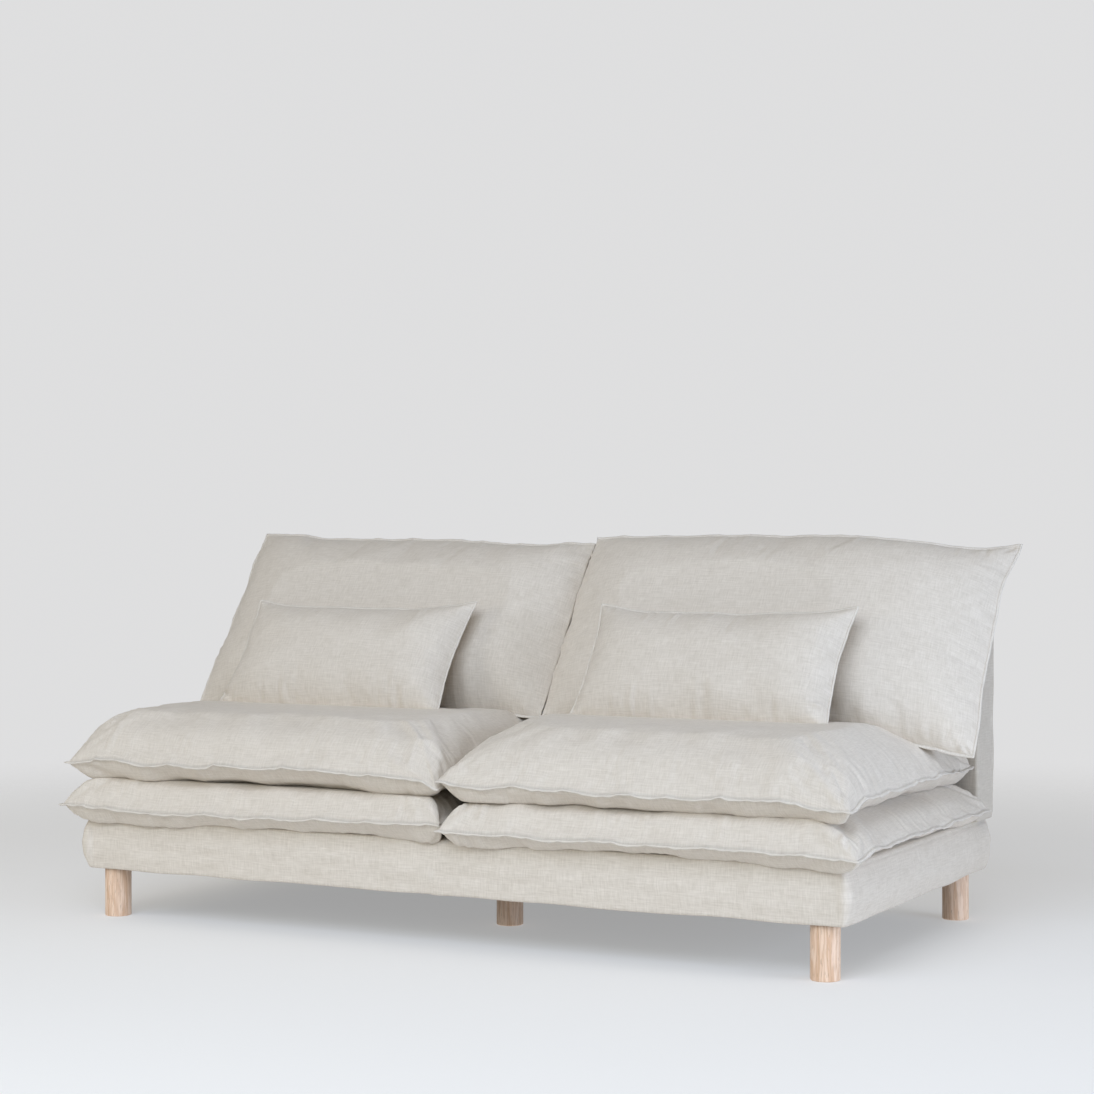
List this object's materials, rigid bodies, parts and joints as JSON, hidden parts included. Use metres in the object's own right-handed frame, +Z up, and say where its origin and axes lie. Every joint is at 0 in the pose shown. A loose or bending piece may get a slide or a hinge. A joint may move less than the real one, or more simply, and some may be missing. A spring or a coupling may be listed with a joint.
{
  "type": "sofa",
  "caption": "Armless slip-covered sofa on round wooden dowel legs, with a low upholstered base, stacked flat seat cushions, raked loose back cushions and small lumbar cushions.",
  "frame": {"origin": "on the floor, under the middle of the sofa's overall width and depth", "axes": "+X along the sofa's width towards its right-hand end seen from the front, -Y to the front, +Y to the back, +Z up"},
  "size_m": [1.96, 0.995, 0.8741],
  "materials": {
    "linen": "matte",
    "leg_wood": "satin",
    "frame_timber": "matte",
    "plywood": "matte",
    "foam": "matte",
    "feather_ticking": "matte",
    "dust_cloth": "matte",
    "zip_tape": "matte",
    "zip_metal": "satin",
    "steel": "satin"
  },
  "bodies": {
    "base": {"back_board": "plywood", "back_cover": "linen", "back_pad": "foam", "back_post_left": "frame_timber", "back_post_right": "frame_timber", "back_top_rail": "frame_timber", "base_cover": "linen", "centre_rail": "frame_timber", "corner_block_front_left": "frame_timber", "corner_block_front_right": "frame_timber", "corner_block_rear_left": "frame_timber", "corner_block_rear_right": "frame_timber", "dust_cover": "dust_cloth", "front_rail": "frame_timber", "hanger_bolt_centre": "steel", "hanger_bolt_front_left": "steel", "hanger_bolt_front_right": "steel", "hanger_bolt_rear_left": "steel", "hanger_bolt_rear_right": "steel", "left_rail": "frame_timber", "leg_centre": "leg_wood", "leg_front_left": "leg_wood", "leg_front_right": "leg_wood", "leg_rear_left": "leg_wood", "leg_rear_right": "leg_wood", "rear_rail": "frame_timber", "right_rail": "frame_timber", "seat_deck": "plywood"},
    "lower_pad_left": {"lower_pad_left_cover": "linen", "lower_pad_left_insert": "foam", "lower_pad_left_zip": "zip_tape"},
    "lower_pad_left_slider": {"lower_pad_left_slider": "zip_metal"},
    "seat_cushion_left": {"seat_cushion_left_cover": "linen", "seat_cushion_left_insert": "foam", "seat_cushion_left_zip": "zip_tape"},
    "seat_cushion_left_slider": {"seat_cushion_left_slider": "zip_metal"},
    "back_cushion_left": {"back_cushion_left_cover": "linen", "back_cushion_left_insert": "feather_ticking", "back_cushion_left_zip": "zip_tape"},
    "back_cushion_left_slider": {"back_cushion_left_slider": "zip_metal"},
    "lumbar_cushion_left": {"lumbar_cushion_left_cover": "linen", "lumbar_cushion_left_insert": "feather_ticking", "lumbar_cushion_left_zip": "zip_tape"},
    "lumbar_cushion_left_slider": {"lumbar_cushion_left_slider": "zip_metal"},
    "lower_pad_right": {"lower_pad_right_cover": "linen", "lower_pad_right_insert": "foam", "lower_pad_right_zip": "zip_tape"},
    "lower_pad_right_slider": {"lower_pad_right_slider": "zip_metal"},
    "seat_cushion_right": {"seat_cushion_right_cover": "linen", "seat_cushion_right_insert": "foam", "seat_cushion_right_zip": "zip_tape"},
    "seat_cushion_right_slider": {"seat_cushion_right_slider": "zip_metal"},
    "back_cushion_right": {"back_cushion_right_cover": "linen", "back_cushion_right_insert": "feather_ticking", "back_cushion_right_zip": "zip_tape"},
    "back_cushion_right_slider": {"back_cushion_right_slider": "zip_metal"},
    "lumbar_cushion_right": {"lumbar_cushion_right_cover": "linen", "lumbar_cushion_right_insert": "feather_ticking", "lumbar_cushion_right_zip": "zip_tape"},
    "lumbar_cushion_right_slider": {"lumbar_cushion_right_slider": "zip_metal"}
  },
  "joints": [
    {"name": "lower_pad_left_lift", "type": "slide", "parent": "base", "child": "lower_pad_left", "axis": [0, 0, 1], "range_m": [0, 0.3]},
    {"name": "lower_pad_left_zip_slide", "type": "slide", "parent": "lower_pad_left", "child": "lower_pad_left_slider", "axis": [1, 0, 0], "range_m": [0, 0.8125]},
    {"name": "seat_cushion_left_lift", "type": "slide", "parent": "lower_pad_left", "child": "seat_cushion_left", "axis": [0, 0, 1], "range_m": [0, 0.3]},
    {"name": "seat_cushion_left_zip_slide", "type": "slide", "parent": "seat_cushion_left", "child": "seat_cushion_left_slider", "axis": [1, 0, 0], "range_m": [0, 0.7975]},
    {"name": "back_cushion_left_lift", "type": "slide", "parent": "seat_cushion_left", "child": "back_cushion_left", "axis": [0, 0, 1], "range_m": [0, 0.4]},
    {"name": "back_cushion_left_zip_slide", "type": "slide", "parent": "back_cushion_left", "child": "back_cushion_left_slider", "axis": [1, 0, 0], "range_m": [0, 0.5005]},
    {"name": "lumbar_cushion_left_lift", "type": "slide", "parent": "back_cushion_left", "child": "lumbar_cushion_left", "axis": [0, 0, 1], "range_m": [0, 0.35]},
    {"name": "lumbar_cushion_left_zip_slide", "type": "slide", "parent": "lumbar_cushion_left", "child": "lumbar_cushion_left_slider", "axis": [1, 0, 0], "range_m": [0, 0.3205]},
    {"name": "lower_pad_right_lift", "type": "slide", "parent": "base", "child": "lower_pad_right", "axis": [0, 0, 1], "range_m": [0, 0.3]},
    {"name": "lower_pad_right_zip_slide", "type": "slide", "parent": "lower_pad_right", "child": "lower_pad_right_slider", "axis": [1, 0, 0], "range_m": [0, 0.8125]},
    {"name": "seat_cushion_right_lift", "type": "slide", "parent": "lower_pad_right", "child": "seat_cushion_right", "axis": [0, 0, 1], "range_m": [0, 0.3]},
    {"name": "seat_cushion_right_zip_slide", "type": "slide", "parent": "seat_cushion_right", "child": "seat_cushion_right_slider", "axis": [1, 0, 0], "range_m": [0, 0.7975]},
    {"name": "back_cushion_right_lift", "type": "slide", "parent": "seat_cushion_right", "child": "back_cushion_right", "axis": [0, 0, 1], "range_m": [0, 0.4]},
    {"name": "back_cushion_right_zip_slide", "type": "slide", "parent": "back_cushion_right", "child": "back_cushion_right_slider", "axis": [1, 0, 0], "range_m": [0, 0.5005]},
    {"name": "lumbar_cushion_right_lift", "type": "slide", "parent": "back_cushion_right", "child": "lumbar_cushion_right", "axis": [0, 0, 1], "range_m": [0, 0.35]},
    {"name": "lumbar_cushion_right_zip_slide", "type": "slide", "parent": "lumbar_cushion_right", "child": "lumbar_cushion_right_slider", "axis": [1, 0, 0], "range_m": [0, 0.3205]}
  ]
}
